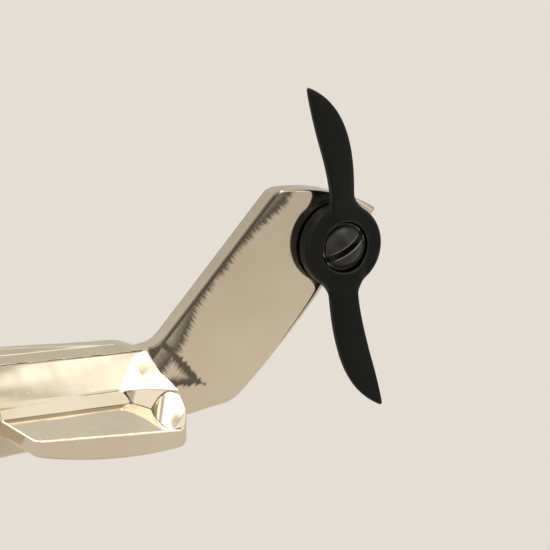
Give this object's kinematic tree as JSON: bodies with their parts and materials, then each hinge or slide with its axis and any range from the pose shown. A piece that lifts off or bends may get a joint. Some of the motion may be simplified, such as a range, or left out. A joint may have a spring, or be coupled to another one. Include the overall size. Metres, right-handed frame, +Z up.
{
  "type": "model helicopter tail section",
  "caption": "Polished metal tail boom with stub stabilisers, swept fin and a freely turning black tail rotor on a slotted screw.",
  "frame": {"origin": "middle of the boom's flat front joint face", "axes": "+X aft along the boom, +Y to starboard, +Z up; the rotor is on the port side, -Y"},
  "size_m": [0.1094, 0.0444, 0.0706],
  "materials": {
    "polished_nickel": "mirror polish by hand, faintly wavy, warm tint",
    "bare_aluminium": "machined",
    "black_paint": "satin black over a casting",
    "black_steel": "black oxide, slightly glossy",
    "steel": "turned",
    "bronze": "turned bearing bronze",
    "fibre": "vulcanised fibre"
  },
  "bodies": {
    "tail": {"boom_port_shell": "polished_nickel", "boom_starboard_shell": "polished_nickel", "spine_strip": "polished_nickel", "tail_fin": "polished_nickel", "joint_block": "bare_aluminium", "clamp_screw_joint": "steel", "clamp_screw_front": "steel", "clamp_screw_middle": "steel", "clamp_screw_rear": "steel", "dowel_pin_front": "steel", "dowel_pin_rear": "steel", "pivot_sleeve": "steel", "thrust_washer": "fibre", "head_washer": "black_steel", "rotor_screw": "black_steel", "nut_washer": "polished_nickel", "lock_washer": "steel", "cap_nut": "polished_nickel"},
    "rotor": {"tail_rotor": "black_paint", "rotor_bush": "bronze"}
  },
  "joints": [
    {"name": "rotor_spin", "type": "hinge", "parent": "tail", "child": "rotor", "pos_m": [0.1, -0.0048, 0.0255], "axis": [0, -1, 0], "continuous": true}
  ]
}
